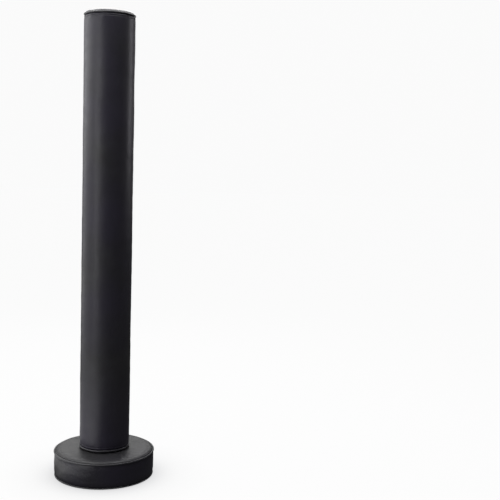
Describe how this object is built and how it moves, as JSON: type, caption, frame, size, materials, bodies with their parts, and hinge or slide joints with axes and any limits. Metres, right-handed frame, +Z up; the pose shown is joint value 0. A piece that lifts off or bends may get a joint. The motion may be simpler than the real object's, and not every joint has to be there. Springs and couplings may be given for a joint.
{
  "type": "pole pad",
  "caption": "Padded column and base ring in black leather that wrap round a sports pole, slit down the back and closed with hook-and-loop flaps.",
  "frame": {"origin": "on the floor, on the axis of the pole that the pad wraps", "axes": "+Z up along the pole, -Y towards the front, +Y towards the side with the closures"},
  "size_m": [0.4256, 0.4256, 1.9488],
  "materials": {
    "black_leather": "semi-gloss grained imitation leather",
    "side_leather": "semi-gloss grained imitation leather",
    "piping_leather": "stretched smooth over the cord",
    "black_lining": "matt woven lining",
    "grey_foam": "matt closed-cell foam",
    "hook_tape": "matt hook tape",
    "loop_tape": "matt loop tape"
  },
  "bodies": {
    "ring_fixed": {"ring_a_foam": "grey_foam", "ring_a_top_panel": "black_leather", "ring_a_side_panel": "side_leather", "ring_a_bottom_panel": "side_leather", "ring_a_lining": "black_lining", "ring_a_end_panel": "black_lining", "ring_a_top_piping": "piping_leather", "ring_a_bottom_piping": "piping_leather", "ring_flap_inner_end": "black_leather"},
    "ring_swing": {"ring_b_foam": "grey_foam", "ring_b_top_panel": "black_leather", "ring_b_side_panel": "side_leather", "ring_b_bottom_panel": "side_leather", "ring_b_lining": "black_lining", "ring_b_end_panel": "black_lining", "ring_b_top_piping": "piping_leather", "ring_b_bottom_piping": "piping_leather", "ring_top_loop_strip": "loop_tape", "ring_side_loop_strip": "loop_tape"},
    "ring_closure_top": {"ring_top_flap": "black_leather", "ring_top_hook_strip": "hook_tape"},
    "ring_closure_side": {"ring_side_flap": "side_leather", "ring_side_hook_strip": "hook_tape"},
    "column_fixed": {"column_a_foam": "grey_foam", "column_a_side_panel": "side_leather", "column_a_top_cap": "black_leather", "column_a_bottom_cap": "black_leather", "column_a_lining": "black_lining", "column_a_end_panel": "black_lining", "column_a_top_piping": "piping_leather", "column_a_bottom_piping": "piping_leather"},
    "column_swing": {"column_b_foam": "grey_foam", "column_b_side_panel": "side_leather", "column_b_top_cap": "black_leather", "column_b_bottom_cap": "black_leather", "column_b_lining": "black_lining", "column_b_end_panel": "black_lining", "column_b_top_piping": "piping_leather", "column_b_bottom_piping": "piping_leather", "column_loop_strip": "loop_tape"},
    "column_closure": {"column_flap": "side_leather", "column_hook_strip": "hook_tape"}
  },
  "joints": [
    {"name": "ring_opening", "type": "hinge", "parent": "ring_fixed", "child": "ring_swing", "pos_m": [0.1065, -0.18446, 0.059], "axis": [0, 0, 1], "range_deg": [0, 35], "stiffness_Nm_per_rad": 2},
    {"name": "ring_top_flap_peel", "type": "hinge", "parent": "ring_fixed", "child": "ring_closure_top", "pos_m": [-0.01555, 0.11178, 0.1183], "axis": [-0.2588, 0.9659, 0], "range_deg": [0, 110]},
    {"name": "ring_side_flap_peel", "type": "hinge", "parent": "ring_fixed", "child": "ring_closure_side", "pos_m": [-0.04184, 0.21032, 0.063], "axis": [0, 0, -1], "range_deg": [0, 110]},
    {"name": "column_lift", "type": "slide", "parent": "ring_fixed", "child": "column_fixed", "axis": [0, 0, 1], "range_m": [0, 0.3]},
    {"name": "column_opening", "type": "hinge", "parent": "column_fixed", "child": "column_swing", "pos_m": [0, -0.1066, 1], "axis": [0, 0, 1], "range_deg": [0, 40], "stiffness_Nm_per_rad": 6},
    {"name": "column_flap_peel", "type": "hinge", "parent": "column_fixed", "child": "column_closure", "pos_m": [0.06526, 0.08505, 1], "axis": [0, 0, -1], "range_deg": [0, 120]}
  ]
}
